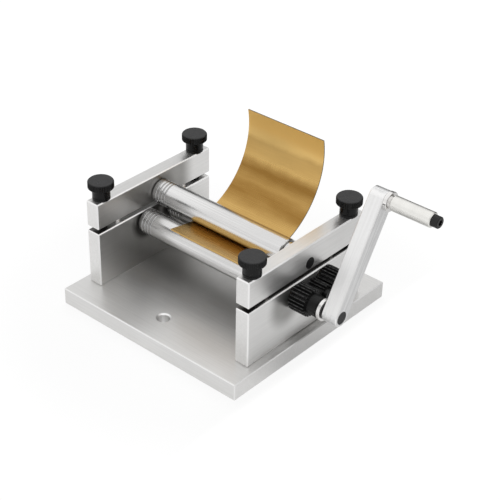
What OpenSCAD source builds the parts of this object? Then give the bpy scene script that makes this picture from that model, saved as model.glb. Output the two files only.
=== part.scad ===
// Three-roll bench roller for sheet, tube and wire, turned by a crank through three gears.
// The origin is the middle of the underside of the base plate: +X is the crank side,
// +Y the rear and +Z up. Lengths are in millimetres.

/* [Base plate] */
// Thickness of the base plate
base_t = 16; // [14:0.5:25]
// Strip of base plate outside each side block
base_side = 7.75; // [4:0.25:20]
// Strip of base plate in front of the side blocks
base_front = 24; // [10:0.5:50]
// Strip of base plate behind the longer side block
base_rear = 26.5; // [10:0.5:50]
// Bevel round the edges of the base plate
plate_edge = 0.8; // [0.3:0.1:2]
// Diameter of the two holes for bench bolts
bench_hole_d = 11; // [6:0.5:13]
// Distance of each bench hole from the front or rear edge of the plate
bench_hole_in = 27.5; // [20:0.5:35]
// How far the bench holes lie to the left of the plate's middle
bench_hole_left = 5.5; // [0:0.5:20]
// Depth of the bevel at the mouth of a bench hole
bench_hole_bevel = 1.2; // [0.5:0.1:2]

/* [Side blocks and bars] */
// Clear width between the two side blocks
inside_w = 156.5; // [140:0.5:220]
// Thickness of the side blocks and of the bars over them
block_t = 14; // [13:0.5:20]
// Length of the left block and bar, front to rear
left_l = 140; // [130:0.5:146]
// Length of the right block and bar, front to rear
right_l = 147.5; // [146:0.5:170]
// From the front edge of the blocks to the line midway between the lower rollers
front_to_rollers = 76; // [70:0.5:80]
// Height of the lower roller axes above the base plate
axis_h = 42.3; // [36:0.1:60]
// Height of the side blocks above the lower roller axes
block_over_axis = 10.7; // [10.3:0.1:12.5]
// Height of a bar
bar_h = 25; // [20:0.5:40]
// Depth of a bar below the upper roller axis
bar_under_axis = 7.4; // [6.5:0.1:9]
// Bevel round the edges of the blocks and bars
block_edge = 1; // [0.3:0.1:1.5]

/* [Rollers] */
// Diameter of the three rollers
roller_d = 23; // [20:0.5:26]
// Bevel at the ends of the rollers
roller_edge = 0.8; // [0.3:0.1:2]
// Diameter of the lower rollers' journals
journal_d = 12; // [11:0.25:13]
// Diameter of the lower rollers' shafts where the gears and the crank sit
shaft_d = 10; // [8:0.25:10.5]
// How far the left journals end inside their bushes
journal_recess = 0.5; // [0.2:0.1:2]
// Wall of a bush
bush_wall = 2; // [1.5:0.1:2.1]
// Thickness of a bush flange
bush_flange_t = 2.5; // [1.5:0.1:4]
// How far a bush flange stands out round the bush
bush_flange_w = 1.2; // [0.8:0.1:2.2]
// Diameter of the axle of the upper roller
axle_d = 10.6; // [8:0.2:11]
// Diameter of the spacer beside the upper roller
spacer_d = 19; // [14:0.5:21]
// Length of the spacer beside the upper roller
spacer_l = 10; // [5:0.5:14]
// Number of wire grooves in each roller
grooves = 4; // [2:1:4]
// Distance from one wire groove to the next
groove_step = 3.4; // [2.8:0.1:4]
// Distance of the first wire groove from the end of the roller
groove_first = 4.6; // [3:0.1:6]
// Diameter of the wire that a groove takes
groove_d = 1.8; // [1:0.1:2.4]

/* [Gears] */
// Module of the gears
gear_m = 1; // [0.95:0.01:1.1]
// Teeth of the two roller gears, an even number
gear_teeth = 22; // [20:2:24]
// Teeth of the idler gear, an even number
idler_teeth = 14; // [14:2:16]
// Width of the gear teeth
gear_w = 16.25; // [8:0.25:18]
// Diameter of a gear's hub
hub_d = 18; // [15:0.5:19]
// Length of a gear's hub
hub_l = 10; // [8:0.5:14]
// Gap between the right block and the gears beside it
gear_gap = 2; // [1:0.25:4]
// Diameter of the pin that the idler turns on
idler_pin_d = 7; // [6:0.25:7.5]
// Diameter of the collar of the idler pin
idler_collar_d = 10; // [9:0.5:12]
// Depth of the idler pin in the side block
idler_pin_deep = 9; // [6:0.5:11]
// Diameter of the head of the idler screw
idler_head_d = 10; // [9:0.25:12]
// Thickness of the head of the idler screw
idler_head_t = 3.2; // [2:0.1:5]
// Diameter of the thread of the idler screw
idler_screw_d = 4; // [3:0.5:4.5]
// Length of the thread of the idler screw
idler_screw_l = 12; // [8:0.5:14]

/* [Crank] */
// Distance between the crank shaft and the handle
crank_r = 101; // [70:1:150]
// Angle of the crank from upright at rest, leaning to the rear
crank_lean = 31; // [0:1:60]
// Width of the crank arm
arm_w = 16; // [15:0.5:22]
// Thickness of the crank arm
arm_t = 14.6; // [12:0.2:18]
// Bevel round the edges of the crank arm
arm_edge = 0.7; // [0.3:0.1:1.5]
// Diameter of the bright collar behind the arm
collar_d = 19.3; // [16:0.1:24]
// Length of the bright collar
collar_l = 4; // [2:0.5:8]
// Diameter of the dark washer behind the arm
washer_d = 15; // [13:0.5:18]
// Thickness of the dark washer
washer_t = 1.5; // [0.5:0.1:3]
// Diameter of the plain screw head at the crank shaft
crank_head_d = 11.4; // [10:0.1:12]
// Thickness of the screw head at the crank shaft
crank_head_t = 3; // [2:0.1:4]
// How far that head lies inside the arm
crank_head_sunk = 0.5; // [0.2:0.1:2]
// Diameter of the thread of the crank screw
crank_screw_d = 5; // [4:0.25:6]
// Length of the thread of the crank screw
crank_screw_l = 14; // [8:0.5:20]

/* [Handle] */
// Diameter of the turning sleeve
sleeve_d = 13.2; // [11:0.1:16]
// Length of the turning sleeve
sleeve_l = 38; // [25:0.5:80]
// Bevel at the ends of the sleeve
sleeve_edge = 0.8; // [0.3:0.1:1.5]
// Diameter of the flange of the handle washer
handle_flange_d = 17; // [15:0.1:20]
// Thickness of the flange of the handle washer
handle_flange_t = 3.5; // [2:0.1:5]
// Diameter of the boss of the handle washer
handle_boss_d = 10.4; // [9:0.1:11]
// Height of the boss of the handle washer
handle_boss_h = 1.4; // [0.8:0.1:3]
// Diameter of the screw that the sleeve turns on
handle_screw_d = 6; // [5:0.1:7]
// Depth of the handle screw in the arm
handle_screw_deep = 12; // [6:0.2:12]
// Diameter of the head of the handle screw
handle_head_d = 10; // [9:0.1:12]
// Height of the head of the handle screw
handle_head_h = 6; // [4:0.1:8]

/* [Thumb screws] */
// Distance of the front thumb screws from the front edge of a bar
thumb_front_in = 11.6; // [11:0.2:14]
// Distance of the rear thumb screws from the rear edge of a bar
thumb_rear_in = 12.9; // [11.5:0.1:15]
// Diameter of the knob
knob_d = 22.8; // [20:0.2:23]
// Height of the knurled head of the knob
knob_head_h = 6.8; // [4:0.2:12]
// Diameter of the neck of the knob
knob_neck_d = 15.7; // [13:0.1:17]
// Height of the neck of the knob
knob_neck_h = 10.6; // [8:0.2:16]
// Height of the collar ring at the foot of the neck
knob_ring_h = 2.2; // [1.5:0.1:3]
// Width and depth of the groove above the collar ring
knob_groove = 0.7; // [0.4:0.1:1]
// Bevel at the top and bottom of the knob's head
knob_edge = 0.8; // [0.3:0.1:1.5]
// Number of ridges round the knob
knob_ridge_count = 48; // [24:2:60]
// Depth of the ridges round the knob
knob_ridge_h = 0.45; // [0.2:0.05:0.8]
// Diameter of the thumb screw's stud
stud_d = 8; // [6:0.1:8.5]
// Length of stud in the knob
stud_in_knob = 8; // [5:0.2:12]
// Length of stud in the side block
stud_in_block = 20; // [12:0.5:28]
// Clearance round the stud in a bar
stud_play = 0.5; // [0.3:0.05:0.8]

/* [Guide pins and block screws] */
// Diameter of the guide pins
guide_d = 6; // [4:0.25:7]
// Distance of the front guide pins from the roller line
guide_front = 48; // [46:0.5:50]
// Distance of the rear guide pins from the roller line
guide_rear = 35; // [32:0.5:37]
// Length of a guide pin above its block
guide_up = 16; // [12:0.5:18]
// Length of a guide pin in its block
guide_down = 16; // [10:0.5:18]
// Diameter of the block screws
block_screw_d = 8; // [6:0.25:9]
// Length of a block screw in its block
block_screw_l = 15; // [10:0.5:18]
// Diameter of the head of a block screw
block_head_d = 13; // [11:0.25:14]
// Height of the head of a block screw
block_head_h = 8; // [6:0.2:9]
// How far the head of a block screw lies inside the base plate
block_head_sunk = 0.6; // [0.2:0.1:2]
// Clearance round a block screw and its head in the base plate
block_screw_play = 0.6; // [0.3:0.1:1]

/* [Sheet in the rollers] */
// Thickness of the sheet
sheet_t = 1; // [0.5:0.1:2]
// Width of the sheet
sheet_w = 84.2; // [40:0.2:110]
// How far the middle of the sheet lies to the right of the plate's middle
sheet_right = 6.8; // [0:0.1:9]
// Inner radius to which the rollers bend the sheet
bend_r = 68; // [55:1:120]
// Length of sheet in front of the upper roller
sheet_front_l = 32.3; // [25:0.5:60]
// Length of sheet behind the upper roller
sheet_rear_l = 122; // [60:1:150]

/* [Fits] */
// Radial clearance of a turning fit
run_clear = 0.05; // [0.02:0.01:0.1]
// Radial clearance of a fixed fit
fixed_clear = 0.02; // [0.01:0.01:0.04]
// Clearance at the end of a turning piece
end_clear = 0.2; // [0.1:0.05:0.4]
// Clearance between the rollers and the sheet
nip_clear = 0.15; // [0.1:0.01:0.2]
// Gap between the flanks of two meshing teeth
tooth_gap = 0.12; // [0.06:0.01:0.2]
// Room past the end of a screw or pin in its blind hole
hole_room = 1; // [0.5:0.1:1.5]

/* [Hidden] */
$fn = 72;
// How far a cut runs past the surface that it opens
over = 1;

// Radii
roller_r = roller_d / 2;
journal_r = journal_d / 2;
shaft_r = shaft_d / 2;
axle_r = axle_d / 2;
bush_bore_r = journal_r + run_clear;
bush_r = bush_bore_r + bush_wall;
bush_flange_r = bush_r + bush_flange_w;

// Places across the machine, along X
x_in = inside_w / 2;
x_mid = x_in + block_t / 2;
x_out = x_in + block_t;
x_flange = x_out - bush_flange_t;
x_gear = x_out + gear_gap;
x_hub = x_gear + gear_w;
x_hub_end = x_hub + hub_l;
x_washer = x_hub_end + collar_l;
x_arm = x_washer + washer_t;
x_arm_out = x_arm + arm_t;
x_boss = x_arm_out + handle_flange_t;
x_sleeve = x_boss + handle_boss_h + end_clear;
x_handle_head = x_sleeve + sleeve_l + end_clear;
roller_x = x_in - end_clear;
x_spacer = x_in - spacer_l;

// Places from front to rear, along Y
base_w = 2 * (x_out + base_side);
base_d = base_front + right_l + base_rear;
y_front = base_front - base_d / 2;
y_rollers = y_front + front_to_rollers;
mesh_r = gear_m * (gear_teeth + idler_teeth) / 2;
y_front_roller = y_rollers - mesh_r;
y_rear_roller = y_rollers + mesh_r;
y_thumb_front = y_front + thumb_front_in;
y_guide_front = y_rollers - guide_front;
y_guide_rear = y_rollers + guide_rear;

// Heights: the upper roller lies where the three rollers bend the sheet to bend_r
z_lower = base_t + axis_h;
z_block = z_lower + block_over_axis;
bend_to_upper = bend_r - nip_clear - roller_r;
bend_to_lower = bend_r + sheet_t + nip_clear + roller_r;
z_bend = z_lower + sqrt(bend_to_lower * bend_to_lower - mesh_r * mesh_r);

// Angle from the bottom of the bend at which the sheet runs on flat over the front roller
flat_to_lower = bend_r + sheet_t + run_clear + roller_r;
flat_turn = asin(mesh_r / bend_to_lower) - acos(flat_to_lower / bend_to_lower);

z_upper = z_bend - bend_to_upper;
z_bar = z_upper - bar_under_axis;
z_knob = z_bar + bar_h;
bar_gap = z_bar - z_block;
stud_l = stud_in_knob + bar_h + bar_gap + stud_in_block;

// Gear form: pressure angle, tooth height above and below the pitch circle in modules,
// and points along a tooth's flank
pressure_angle = 20;
tip_share = 1;
root_share = 1.25;
flank_points = 6;

// Places of the block screws along their block, as shares of its length
block_screw_shares = [0.14, 0.5, 0.84];

// Small details, as shares of the piece that carries them
socket_share = 0.52;
socket_deep_share = 0.55;
grub_share = 0.22;
head_edge_share = 0.06;
ring_edge_share = 0.1;

aluminium = [0.80, 0.80, 0.80];
bright_steel = [0.74, 0.75, 0.76];
black_steel = [0.11, 0.11, 0.12];
black_plastic = [0.07, 0.07, 0.07];
bronze = [0.66, 0.50, 0.30];
brass = [0.80, 0.62, 0.33];

// A turned piece on the X axis, from points of radius and length
module turned(points) {
    rotate([0, 90, 0]) rotate_extrude() polygon(points);
}

// A plain bar or bore along X, from x to x + length
module rod_x(x, r, length) {
    translate([x, 0, 0]) rotate([0, 90, 0]) cylinder(r = r, h = length);
}

// A rod along X with both ends bevelled
module bevelled_rod(x, r, length, edge) {
    turned([[0, x], [r - edge, x], [r, x + edge], [r, x + length - edge],
            [r - edge, x + length], [0, x + length]]);
}

// A hexagonal socket along X, opening at x towards +X, for a head of the given radius and height
module hex_socket(x, head_r, head_h) {
    deep = head_h * socket_deep_share;
    translate([x - deep, 0, 0]) rotate([0, 90, 0]) cylinder(r = head_r * socket_share, h = deep + over, $fn = 6);
}

// A rectangle with bevelled corners, with one corner at the origin
module bevelled_square(size, edge) {
    polygon([[edge, 0], [size.x - edge, 0], [size.x, edge], [size.x, size.y - edge],
             [size.x - edge, size.y], [edge, size.y], [0, size.y - edge], [0, edge]]);
}

// A block with all its edges bevelled, with one corner at the origin
module bevelled_block(size, edge) {
    intersection() {
        linear_extrude(size.z) bevelled_square([size.x, size.y], edge);
        translate([0, size.y, 0]) rotate([90, 0, 0])
            linear_extrude(size.y) bevelled_square([size.x, size.z], edge);
        rotate([90, 0, 90]) linear_extrude(size.x) bevelled_square([size.y, size.z], edge);
    }
}

// Base plate, with the bench holes and the counterbored holes of the block screws
module base_plate() {
    color(aluminium)
    difference() {
        translate([-base_w / 2, -base_d / 2, 0]) bevelled_block([base_w, base_d, base_t], plate_edge);
        for (side = [-1, 1]) translate([-bench_hole_left, side * (base_d / 2 - bench_hole_in), 0]) bench_hole();
        for (side = [-1, 1]) at_block_screws(side) block_screw_hole();
    }
}

module bench_hole() {
    r = bench_hole_d / 2;
    translate([0, 0, -over]) cylinder(r = r, h = base_t + 2 * over);
    translate([0, 0, base_t - bench_hole_bevel])
        cylinder(r1 = r, r2 = r + bench_hole_bevel + over, h = bench_hole_bevel + over);
}

// Lengths of the block and bar on each side, and the middle of their rear thumb screws
function block_l(side) = side < 0 ? left_l : right_l;
function y_thumb_rear(side) = y_front + block_l(side) - thumb_rear_in;

module at_block_screws(side) {
    for (share = block_screw_shares) translate([side * x_mid, y_front + share * block_l(side), 0]) children();
}

module at_thumb_screws(side) {
    for (y = [y_thumb_front, y_thumb_rear(side)]) translate([side * x_mid, y, 0]) children();
}

module at_guide_pins(side) {
    for (y = [y_guide_front, y_guide_rear]) translate([side * x_mid, y, 0]) children();
}

module block_screw_hole() {
    head_r = block_head_d / 2 + block_screw_play;
    translate([0, 0, -over]) cylinder(r = head_r, h = over + block_head_sunk + block_head_h);
    translate([0, 0, -over]) cylinder(r = block_screw_d / 2 + block_screw_play, h = base_t + 2 * over);
}

// Side block with the bores of the bushes and the holes of its pins and screws
module cheek(side) {
    color(aluminium)
    difference() {
        translate([side * x_mid - block_t / 2, y_front, base_t])
            bevelled_block([block_t, block_l(side), z_block - base_t], block_edge);
        for (y = [y_front_roller, y_rear_roller]) translate([0, y, z_lower]) mirror([side < 0 ? 1 : 0, 0, 0]) {
            rod_x(x_in - over, bush_r + fixed_clear, block_t + 2 * over);
            rod_x(x_flange, bush_flange_r + fixed_clear, bush_flange_t + over);
        }
        translate([0, 0, z_block - stud_in_block - hole_room]) at_thumb_screws(side)
            cylinder(r = stud_d / 2 + run_clear, h = stud_in_block + hole_room + over);
        translate([0, 0, z_block - guide_down - hole_room]) at_guide_pins(side)
            cylinder(r = guide_d / 2 + fixed_clear, h = guide_down + hole_room + over);
        translate([0, 0, base_t - over]) at_block_screws(side)
            cylinder(r = block_screw_d / 2 + fixed_clear, h = block_screw_l + hole_room + over);
        if (side > 0) translate([0, y_rollers, z_lower])
            rod_x(x_out - idler_pin_deep - hole_room, idler_pin_d / 2 + fixed_clear,
                  idler_pin_deep + hole_room + over);
    }
}

module left_cheek() { cheek(-1); }
module right_cheek() { cheek(1); }

// Cap screws that hold the side blocks from under the base plate
module cheek_screws() {
    color(black_steel)
    for (side = [-1, 1]) at_block_screws(side) translate([0, 0, block_head_sunk]) block_screw();
}

module block_screw() {
    shank = base_t - block_head_sunk + block_screw_l;
    deep = block_head_h * socket_deep_share;
    difference() {
        union() {
            cylinder(r = block_head_d / 2, h = block_head_h);
            cylinder(r = block_screw_d / 2, h = shank);
        }
        translate([0, 0, -over]) cylinder(r = block_head_d / 2 * socket_share, h = deep + over, $fn = 6);
    }
}

// Bar over a side block. The left bore is a turning fit on the axle and the right one holds it
module cap(side) {
    bore_r = axle_r + (side < 0 ? run_clear : fixed_clear);
    color(aluminium)
    difference() {
        translate([side * x_mid - block_t / 2, y_front, z_bar])
            bevelled_block([block_t, block_l(side), bar_h], block_edge);
        translate([0, y_rollers, z_upper])
            rod_x(side * x_mid - block_t / 2 - over, bore_r, block_t + 2 * over);
        translate([0, 0, z_bar - over]) at_thumb_screws(side)
            cylinder(r = stud_d / 2 + stud_play, h = bar_h + 2 * over);
        translate([0, 0, z_bar - over]) at_guide_pins(side)
            cylinder(r = guide_d / 2 + run_clear, h = guide_up + hole_room + over);
    }
}

module left_cap() { cap(-1); }
module right_cap() { cap(1); }

// Dowels fixed in the side blocks, on which the bars slide
module guide_pins() {
    color(bright_steel)
    for (side = [-1, 1]) translate([0, 0, z_block - guide_down]) at_guide_pins(side)
        cylinder(r = guide_d / 2, h = guide_down + guide_up);
}

// Outline of the knob with its ridges
function ridge_r(k) = knob_d / 2 - (k % 2) * knob_ridge_h;
function ridge_points() = [
    for (k = [0 : 2 * knob_ridge_count - 1]) let (a = 180 * k / knob_ridge_count) ridge_r(k) * [cos(a), sin(a)]
];

// Thumb knob: a knurled head, a neck and a collar ring, moulded round the stud
module thumb_knob() {
    head_r = knob_d / 2;
    neck_r = knob_neck_d / 2;
    top = knob_neck_h + knob_head_h;
    bevel_h = knob_edge + knob_ridge_h;
    bevel_r = head_r + knob_ridge_h;
    ring_edge = knob_ring_h * ring_edge_share;
    color(black_plastic)
    translate([0, 0, z_knob])
    difference() {
        union() {
            intersection() {
                translate([0, 0, knob_neck_h]) linear_extrude(knob_head_h) polygon(ridge_points());
                rotate_extrude() polygon([[0, knob_neck_h], [head_r - knob_edge, knob_neck_h],
                    [bevel_r, knob_neck_h + bevel_h], [bevel_r, top - bevel_h],
                    [head_r - knob_edge, top], [0, top]]);
            }
            rotate_extrude() polygon([[0, 0], [neck_r - ring_edge, 0], [neck_r, ring_edge],
                [neck_r, knob_ring_h], [neck_r - knob_groove, knob_ring_h],
                [neck_r - knob_groove, knob_ring_h + knob_groove], [neck_r, knob_ring_h + knob_groove],
                [neck_r, knob_neck_h - knob_edge], [neck_r + knob_edge, knob_neck_h], [0, knob_neck_h]]);
        }
        translate([0, 0, -over]) cylinder(r = stud_d / 2 + fixed_clear, h = stud_in_knob + over);
    }
}

// Stud of a thumb screw, fixed in the knob and threaded in the side block
module thumb_stud() {
    color(black_steel)
    translate([0, 0, z_knob + stud_in_knob - stud_l]) cylinder(r = stud_d / 2, h = stud_l);
}

module thumb_knob_fl() { translate([-x_mid, y_thumb_front, 0]) thumb_knob(); }
module thumb_knob_rl() { translate([-x_mid, y_thumb_rear(-1), 0]) thumb_knob(); }
module thumb_knob_fr() { translate([x_mid, y_thumb_front, 0]) thumb_knob(); }
module thumb_knob_rr() { translate([x_mid, y_thumb_rear(1), 0]) thumb_knob(); }
module thumb_stud_fl() { translate([-x_mid, y_thumb_front, 0]) thumb_stud(); }
module thumb_stud_rl() { translate([-x_mid, y_thumb_rear(-1), 0]) thumb_stud(); }
module thumb_stud_fr() { translate([x_mid, y_thumb_front, 0]) thumb_stud(); }
module thumb_stud_rr() { translate([x_mid, y_thumb_rear(1), 0]) thumb_stud(); }

// Half-round wire grooves near the left end of a roller
module wire_grooves() {
    for (k = [0 : grooves - 1]) translate([-roller_x + groove_first + k * groove_step, 0, 0])
        rotate([0, 90, 0]) rotate_extrude() translate([roller_r, 0]) circle(r = groove_d / 2);
}

// Lower roller: body, journals and shaft turned from one bar
module lower_roller(shaft_end) {
    turned([[0, journal_recess - x_out], [journal_r, journal_recess - x_out],
            [journal_r, -roller_x], [roller_r - roller_edge, -roller_x],
            [roller_r, roller_edge - roller_x], [roller_r, roller_x - roller_edge],
            [roller_r - roller_edge, roller_x], [journal_r, roller_x],
            [journal_r, x_gear], [shaft_r, x_gear], [shaft_r, shaft_end], [0, shaft_end]]);
}

// The crank shaft ends under the crank screw's head
x_shaft_end = x_arm_out - crank_head_sunk - crank_head_t;

module front_roller() {
    color(bright_steel)
    translate([0, y_front_roller, z_lower])
    difference() {
        lower_roller(x_shaft_end);
        wire_grooves();
        rod_x(x_shaft_end - crank_screw_l - hole_room, crank_screw_d / 2 + fixed_clear,
              crank_screw_l + hole_room + over);
    }
}

module rear_roller() {
    color(bright_steel)
    translate([0, y_rear_roller, z_lower])
    difference() {
        lower_roller(x_hub_end);
        wire_grooves();
    }
}

// Forming roller: a sleeve that turns on the axle
module upper_roller() {
    bore_r = axle_r + run_clear;
    right = x_spacer - end_clear;
    color(bright_steel)
    translate([0, y_rollers, z_upper])
    difference() {
        turned([[bore_r, -roller_x], [roller_r - roller_edge, -roller_x], [roller_r, roller_edge - roller_x],
                [roller_r, right - roller_edge], [roller_r - roller_edge, right], [bore_r, right]]);
        wire_grooves();
    }
}

module roller_spacer() {
    color(bright_steel)
    translate([0, y_rollers, z_upper])
    difference() {
        bevelled_rod(x_spacer, spacer_d / 2, spacer_l, roller_edge);
        rod_x(x_spacer - over, axle_r + fixed_clear, spacer_l + 2 * over);
    }
}

module upper_axle() {
    color(black_steel)
    translate([0, y_rollers, z_upper])
        rod_x(-x_out, axle_r, 2 * x_out);
}

// Flanged bush of a lower roller, pressed in from outside with its flange flush in the block
module bush(side, y) {
    color(bronze)
    translate([0, y, z_lower]) mirror([side < 0 ? 1 : 0, 0, 0])
        turned([[bush_bore_r, x_in], [bush_r, x_in], [bush_r, x_flange], [bush_flange_r, x_flange],
                [bush_flange_r, x_out], [bush_bore_r, x_out]]);
}

module front_bush_left() { bush(-1, y_front_roller); }
module front_bush_right() { bush(1, y_front_roller); }
module rear_bush_left() { bush(-1, y_rear_roller); }
module rear_bush_right() { bush(1, y_rear_roller); }

// Involute gear: half the angle of a tooth at radius r, measured at the gear's middle.
// Below the base circle the flank is straight
function involute(a) = tan(a) * 180 / PI - a;
function half_tooth(teeth, r) = let (
        pitch_r = gear_m * teeth / 2,
        base_r = pitch_r * cos(pressure_angle),
        at_pitch = 90 / teeth - tooth_gap / 4 / pitch_r * 180 / PI)
    at_pitch + involute(pressure_angle) - involute(acos(min(1, base_r / r)));
function tooth_r(teeth, k) = let (
        tip = gear_m * (teeth / 2 + tip_share),
        root = gear_m * (teeth / 2 - root_share))
    root + (tip - root) * k / flank_points;
function gear_point(teeth, tooth, k, hand) = let (
        r = tooth_r(teeth, k),
        a = 360 * tooth / teeth + hand * half_tooth(teeth, r))
    [r * cos(a), r * sin(a)];
function gear_points(teeth) = [
    for (tooth = [0 : teeth - 1]) each concat(
        [for (k = [0 : flank_points]) gear_point(teeth, tooth, k, -1)],
        [for (k = [flank_points : -1 : 0]) gear_point(teeth, tooth, k, 1)])
];

// Gear blank on the X axis with one tooth towards +Y, before it is turned
module gear_body(teeth, turn) {
    translate([x_gear, 0, 0]) rotate([90, 0, 90]) rotate([0, 0, turn])
        linear_extrude(gear_w) polygon(gear_points(teeth));
}

// Place of the grub screw in a gear's hub, pointing down
x_grub = x_hub + hub_l / 2;
grub_r = hub_d * grub_share / 2;

module hub_gear(turn) {
    color(black_steel)
    difference() {
        union() {
            gear_body(gear_teeth, turn);
            bevelled_rod(x_hub - over, hub_d / 2, hub_l + over, hub_d * head_edge_share / 2);
        }
        rod_x(x_gear - over, shaft_r + fixed_clear, gear_w + hub_l + 2 * over);
        translate([x_grub, 0, -hub_d / 2 - over]) cylinder(r = grub_r + fixed_clear, h = hub_d / 2 + over);
    }
}

// Grub screw between the shaft and the hub's surface
module hub_grub() {
    inner = shaft_r + fixed_clear;
    outer = hub_d / 2 * (1 - head_edge_share);
    color(black_steel)
    difference() {
        translate([x_grub, 0, -outer]) cylinder(r = grub_r, h = outer - inner);
        translate([x_grub, 0, -outer - over])
            cylinder(r = grub_r * socket_share, h = (outer - inner) / 2 + over, $fn = 6);
    }
}

module front_gear() { translate([0, y_front_roller, z_lower]) hub_gear(0); }
module rear_gear() { translate([0, y_rear_roller, z_lower]) hub_gear(180); }
module front_gear_grub() { translate([0, y_front_roller, z_lower]) hub_grub(); }
module rear_gear_grub() { translate([0, y_rear_roller, z_lower]) hub_grub(); }

// Idler, with a tooth space towards each of its neighbours
module idler_gear() {
    color(black_steel)
    translate([0, y_rollers, z_lower])
    difference() {
        gear_body(idler_teeth, 180 / idler_teeth);
        rod_x(x_gear - over, idler_pin_d / 2 + run_clear, gear_w + 2 * over);
    }
}

// Shouldered pin of the idler, fixed in the right block
x_idler_head = x_hub + end_clear;
module idler_pin() {
    pin_r = idler_pin_d / 2;
    collar_r = idler_collar_d / 2;
    color(black_steel)
    translate([0, y_rollers, z_lower])
    difference() {
        turned([[0, x_out - idler_pin_deep], [pin_r, x_out - idler_pin_deep], [pin_r, x_out],
                [collar_r, x_out], [collar_r, x_gear - end_clear], [pin_r, x_gear - end_clear],
                [pin_r, x_idler_head], [0, x_idler_head]]);
        rod_x(x_idler_head - idler_screw_l - hole_room, idler_screw_d / 2 + fixed_clear,
              idler_screw_l + hole_room + over);
    }
}

// Screw with a plain head, along X, the seat of the head at x
module plain_screw(x, head_r, head_h, thread_r, thread_l) {
    turned([[0, x], [head_r, x], [head_r, x + head_h * (1 - ring_edge_share)],
            [head_r - head_h * ring_edge_share, x + head_h], [0, x + head_h]]);
    rod_x(x - thread_l, thread_r, thread_l + head_h / 2);
}

// The same screw with a hexagonal socket in its head
module socket_screw(x, head_r, head_h, thread_r, thread_l) {
    difference() {
        plain_screw(x, head_r, head_h, thread_r, thread_l);
        hex_socket(x + head_h, head_r, head_h);
    }
}

module idler_screw() {
    color(black_steel)
    translate([0, y_rollers, z_lower])
        socket_screw(x_idler_head, idler_head_d / 2, idler_head_t, idler_screw_d / 2, idler_screw_l);
}

// Bright collar and dark washer between the front gear and the crank arm
module crank_collar() {
    color(bright_steel)
    translate([0, y_front_roller, z_lower])
    difference() {
        bevelled_rod(x_hub_end, collar_d / 2, collar_l, collar_l * ring_edge_share);
        rod_x(x_hub_end - over, shaft_r + fixed_clear, collar_l + 2 * over);
    }
}

module crank_washer() {
    color(black_steel)
    translate([0, y_front_roller, z_lower])
    difference() {
        rod_x(x_washer, washer_d / 2, washer_t);
        rod_x(x_washer - over, shaft_r + fixed_clear, washer_t + 2 * over);
    }
}

// Turns the crank's own frame, in which the arm stands upright, to its place at rest
module at_crank() {
    translate([0, y_front_roller, z_lower]) rotate([-crank_lean, 0, 0]) children();
}

// Grub screw of the arm, from the arm's rear edge to the shaft
x_arm_grub = x_arm + arm_t / 2;
arm_grub_r = arm_w * grub_share / 2;

module crank_arm() {
    arm_r = arm_w / 2;
    color(aluminium)
    at_crank()
    difference() {
        union() {
            bevelled_rod(x_arm, arm_r, arm_t, arm_edge);
            translate([0, 0, crank_r]) bevelled_rod(x_arm, arm_r, arm_t, arm_edge);
            translate([x_arm, -arm_r, 0]) linear_extrude(crank_r) bevelled_square([arm_t, arm_w], arm_edge);
        }
        rod_x(x_arm - over, shaft_r + fixed_clear, arm_t + 2 * over);
        rod_x(x_shaft_end, crank_head_d / 2 + fixed_clear, crank_head_t + crank_head_sunk + over);
        translate([0, 0, crank_r])
            rod_x(x_arm_out - handle_screw_deep - hole_room, handle_screw_d / 2 + fixed_clear,
                  handle_screw_deep + hole_room + over);
        translate([x_arm_grub, 0, 0]) rotate([-90, 0, 0]) cylinder(r = arm_grub_r + fixed_clear, h = arm_r + over);
    }
}

module crank_grub() {
    inner = shaft_r + fixed_clear;
    outer = arm_w / 2 * (1 - head_edge_share);
    color(black_steel)
    at_crank() translate([x_arm_grub, 0, 0]) rotate([-90, 0, 0])
    difference() {
        translate([0, 0, inner]) cylinder(r = arm_grub_r, h = outer - inner);
        translate([0, 0, (inner + outer) / 2]) cylinder(r = arm_grub_r * socket_share, h = outer, $fn = 6);
    }
}

module crank_screw() {
    color(black_steel)
    at_crank()
        plain_screw(x_shaft_end, crank_head_d / 2, crank_head_t, crank_screw_d / 2, crank_screw_l);
}

// Flanged washer between the arm and the sleeve
module handle_washer() {
    flange_r = handle_flange_d / 2;
    boss_r = handle_boss_d / 2;
    bore_r = handle_screw_d / 2 + fixed_clear;
    edge = handle_flange_t * ring_edge_share;
    color(bright_steel)
    at_crank() translate([0, 0, crank_r])
        turned([[bore_r, x_arm_out], [flange_r - edge, x_arm_out], [flange_r, x_arm_out + edge],
                [flange_r, x_boss - edge], [flange_r - edge, x_boss], [boss_r, x_boss],
                [boss_r, x_boss + handle_boss_h], [bore_r, x_boss + handle_boss_h]]);
}

module handle_sleeve() {
    color(aluminium)
    at_crank() translate([0, 0, crank_r])
    difference() {
        bevelled_rod(x_sleeve, sleeve_d / 2, sleeve_l, sleeve_edge);
        rod_x(x_sleeve - over, handle_screw_d / 2 + run_clear, sleeve_l + 2 * over);
    }
}

module handle_screw() {
    thread_l = x_handle_head - x_arm_out + handle_screw_deep;
    color(black_steel)
    at_crank() translate([0, 0, crank_r])
        socket_screw(x_handle_head, handle_head_d / 2, handle_head_h, handle_screw_d / 2, thread_l);
}

// Brass sheet, bent to an arc about the middle of the bend, with its front end still flat
module brass_sheet() {
    mid_r = bend_r + sheet_t / 2;
    flat_l = sheet_front_l - mid_r * flat_turn * PI / 180;
    rear_a = sheet_rear_l / mid_r * 180 / PI;
    color(brass)
    translate([sheet_right - sheet_w / 2, y_rollers, z_bend]) {
        rotate([90, 0, 90]) rotate([0, 0, -90 - flat_turn])
            rotate_extrude(angle = flat_turn + rear_a) translate([bend_r, 0]) square([sheet_t, sheet_w]);
        rotate([-flat_turn, 0, 0]) translate([0, -flat_l, -bend_r - sheet_t]) cube([sheet_w, flat_l, sheet_t]);
    }
}

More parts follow.
